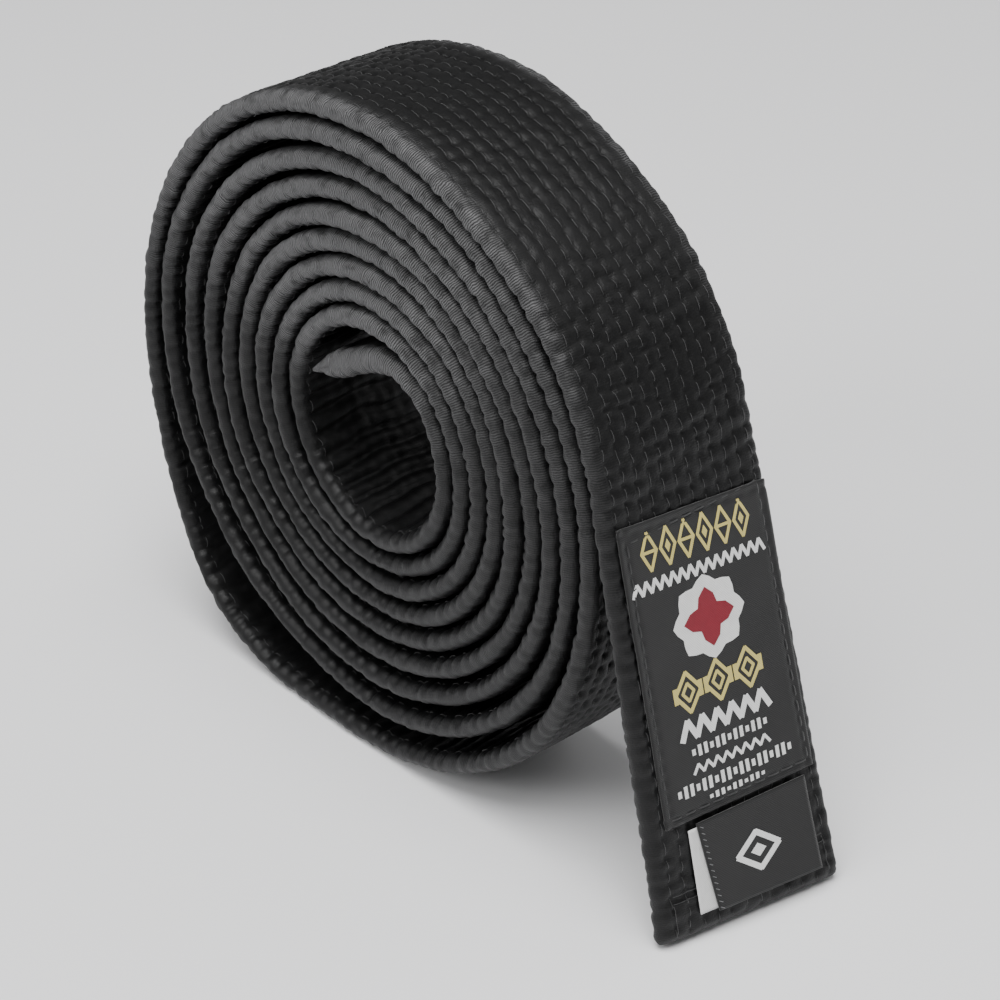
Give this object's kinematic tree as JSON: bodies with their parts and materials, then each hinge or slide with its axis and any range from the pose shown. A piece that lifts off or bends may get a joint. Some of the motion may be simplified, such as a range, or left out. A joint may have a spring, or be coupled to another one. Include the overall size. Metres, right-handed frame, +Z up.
{
  "type": "martial arts belt",
  "caption": "Quilted satin martial arts belt wound into a standing roll, with a labelled end leaning down to the floor and a plain end loose in the eye.",
  "frame": {"origin": "middle of the flat foot that the roll stands on, on the floor under the belt's centre line", "axes": "+Z up, +Y along the roll's axis, +X towards the labelled end that leans down to the floor"},
  "size_m": [0.1637, 0.04, 0.1434],
  "materials": {
    "black_satin": "matte black satin, quilted, with a soft sheen",
    "cotton_core": "undyed cotton canvas",
    "black_thread": "black sewing thread",
    "woven_label": "woven damask label, black ground with pale, gold and crimson figures",
    "label_thread": "black sewing thread",
    "size_tag": "woven black ribbon with a pale figure",
    "care_tag": "white satin ribbon"
  },
  "bodies": {
    "roll": {"roll_cover_outer_turn": "black_satin", "roll_cover_inner_turns": "black_satin", "roll_cover_eye_turn": "black_satin", "roll_core_layer_1": "cotton_core", "roll_core_layer_2": "cotton_core", "roll_core_layer_3": "cotton_core", "roll_core_layer_4": "cotton_core", "roll_stitch_rows": "black_thread"},
    "free_end": {"tail_cover": "black_satin", "tail_core_layer_1": "cotton_core", "tail_core_layer_2": "cotton_core", "tail_core_layer_3": "cotton_core", "tail_core_layer_4": "cotton_core", "tail_stitch_rows": "black_thread", "tail_end_seam": "black_thread", "woven_label": "woven_label", "label_border_stitches": "label_thread"},
    "inner_end": {"inner_end_cover": "black_satin", "inner_end_core_layer_1": "cotton_core", "inner_end_core_layer_2": "cotton_core", "inner_end_core_layer_3": "cotton_core", "inner_end_core_layer_4": "cotton_core", "inner_end_stitch_rows": "black_thread", "inner_end_seam": "black_thread"},
    "size_tag": {"size_tag": "size_tag"},
    "care_tag": {"care_tag": "care_tag"}
  },
  "joints": [
    {"name": "free_end_lift", "type": "hinge", "parent": "roll", "child": "free_end", "pos_m": [0.07984, 0, 0.09087], "axis": [0, -1, 0], "range_deg": [0, 100], "stiffness_Nm_per_rad": 0.08},
    {"name": "inner_end_bend", "type": "hinge", "parent": "roll", "child": "inner_end", "pos_m": [0.01691, 0, 0.09195], "axis": [0, 1, 0], "range_deg": [-45, 0], "stiffness_Nm_per_rad": 0.02},
    {"name": "size_tag_lift", "type": "hinge", "parent": "free_end", "child": "size_tag", "pos_m": [0.10102, 0, 0.02459], "axis": [0, -1, 0], "range_deg": [0, 150], "stiffness_Nm_per_rad": 0.00005},
    {"name": "care_tag_lift", "type": "hinge", "parent": "free_end", "child": "care_tag", "pos_m": [0.1007, 0, 0.02347], "axis": [0, -1, 0], "range_deg": [0, 75]}
  ],
  "couplings": [
    {"joint": "care_tag_lift", "follows": "size_tag_lift", "ratio": 0.5}
  ]
}
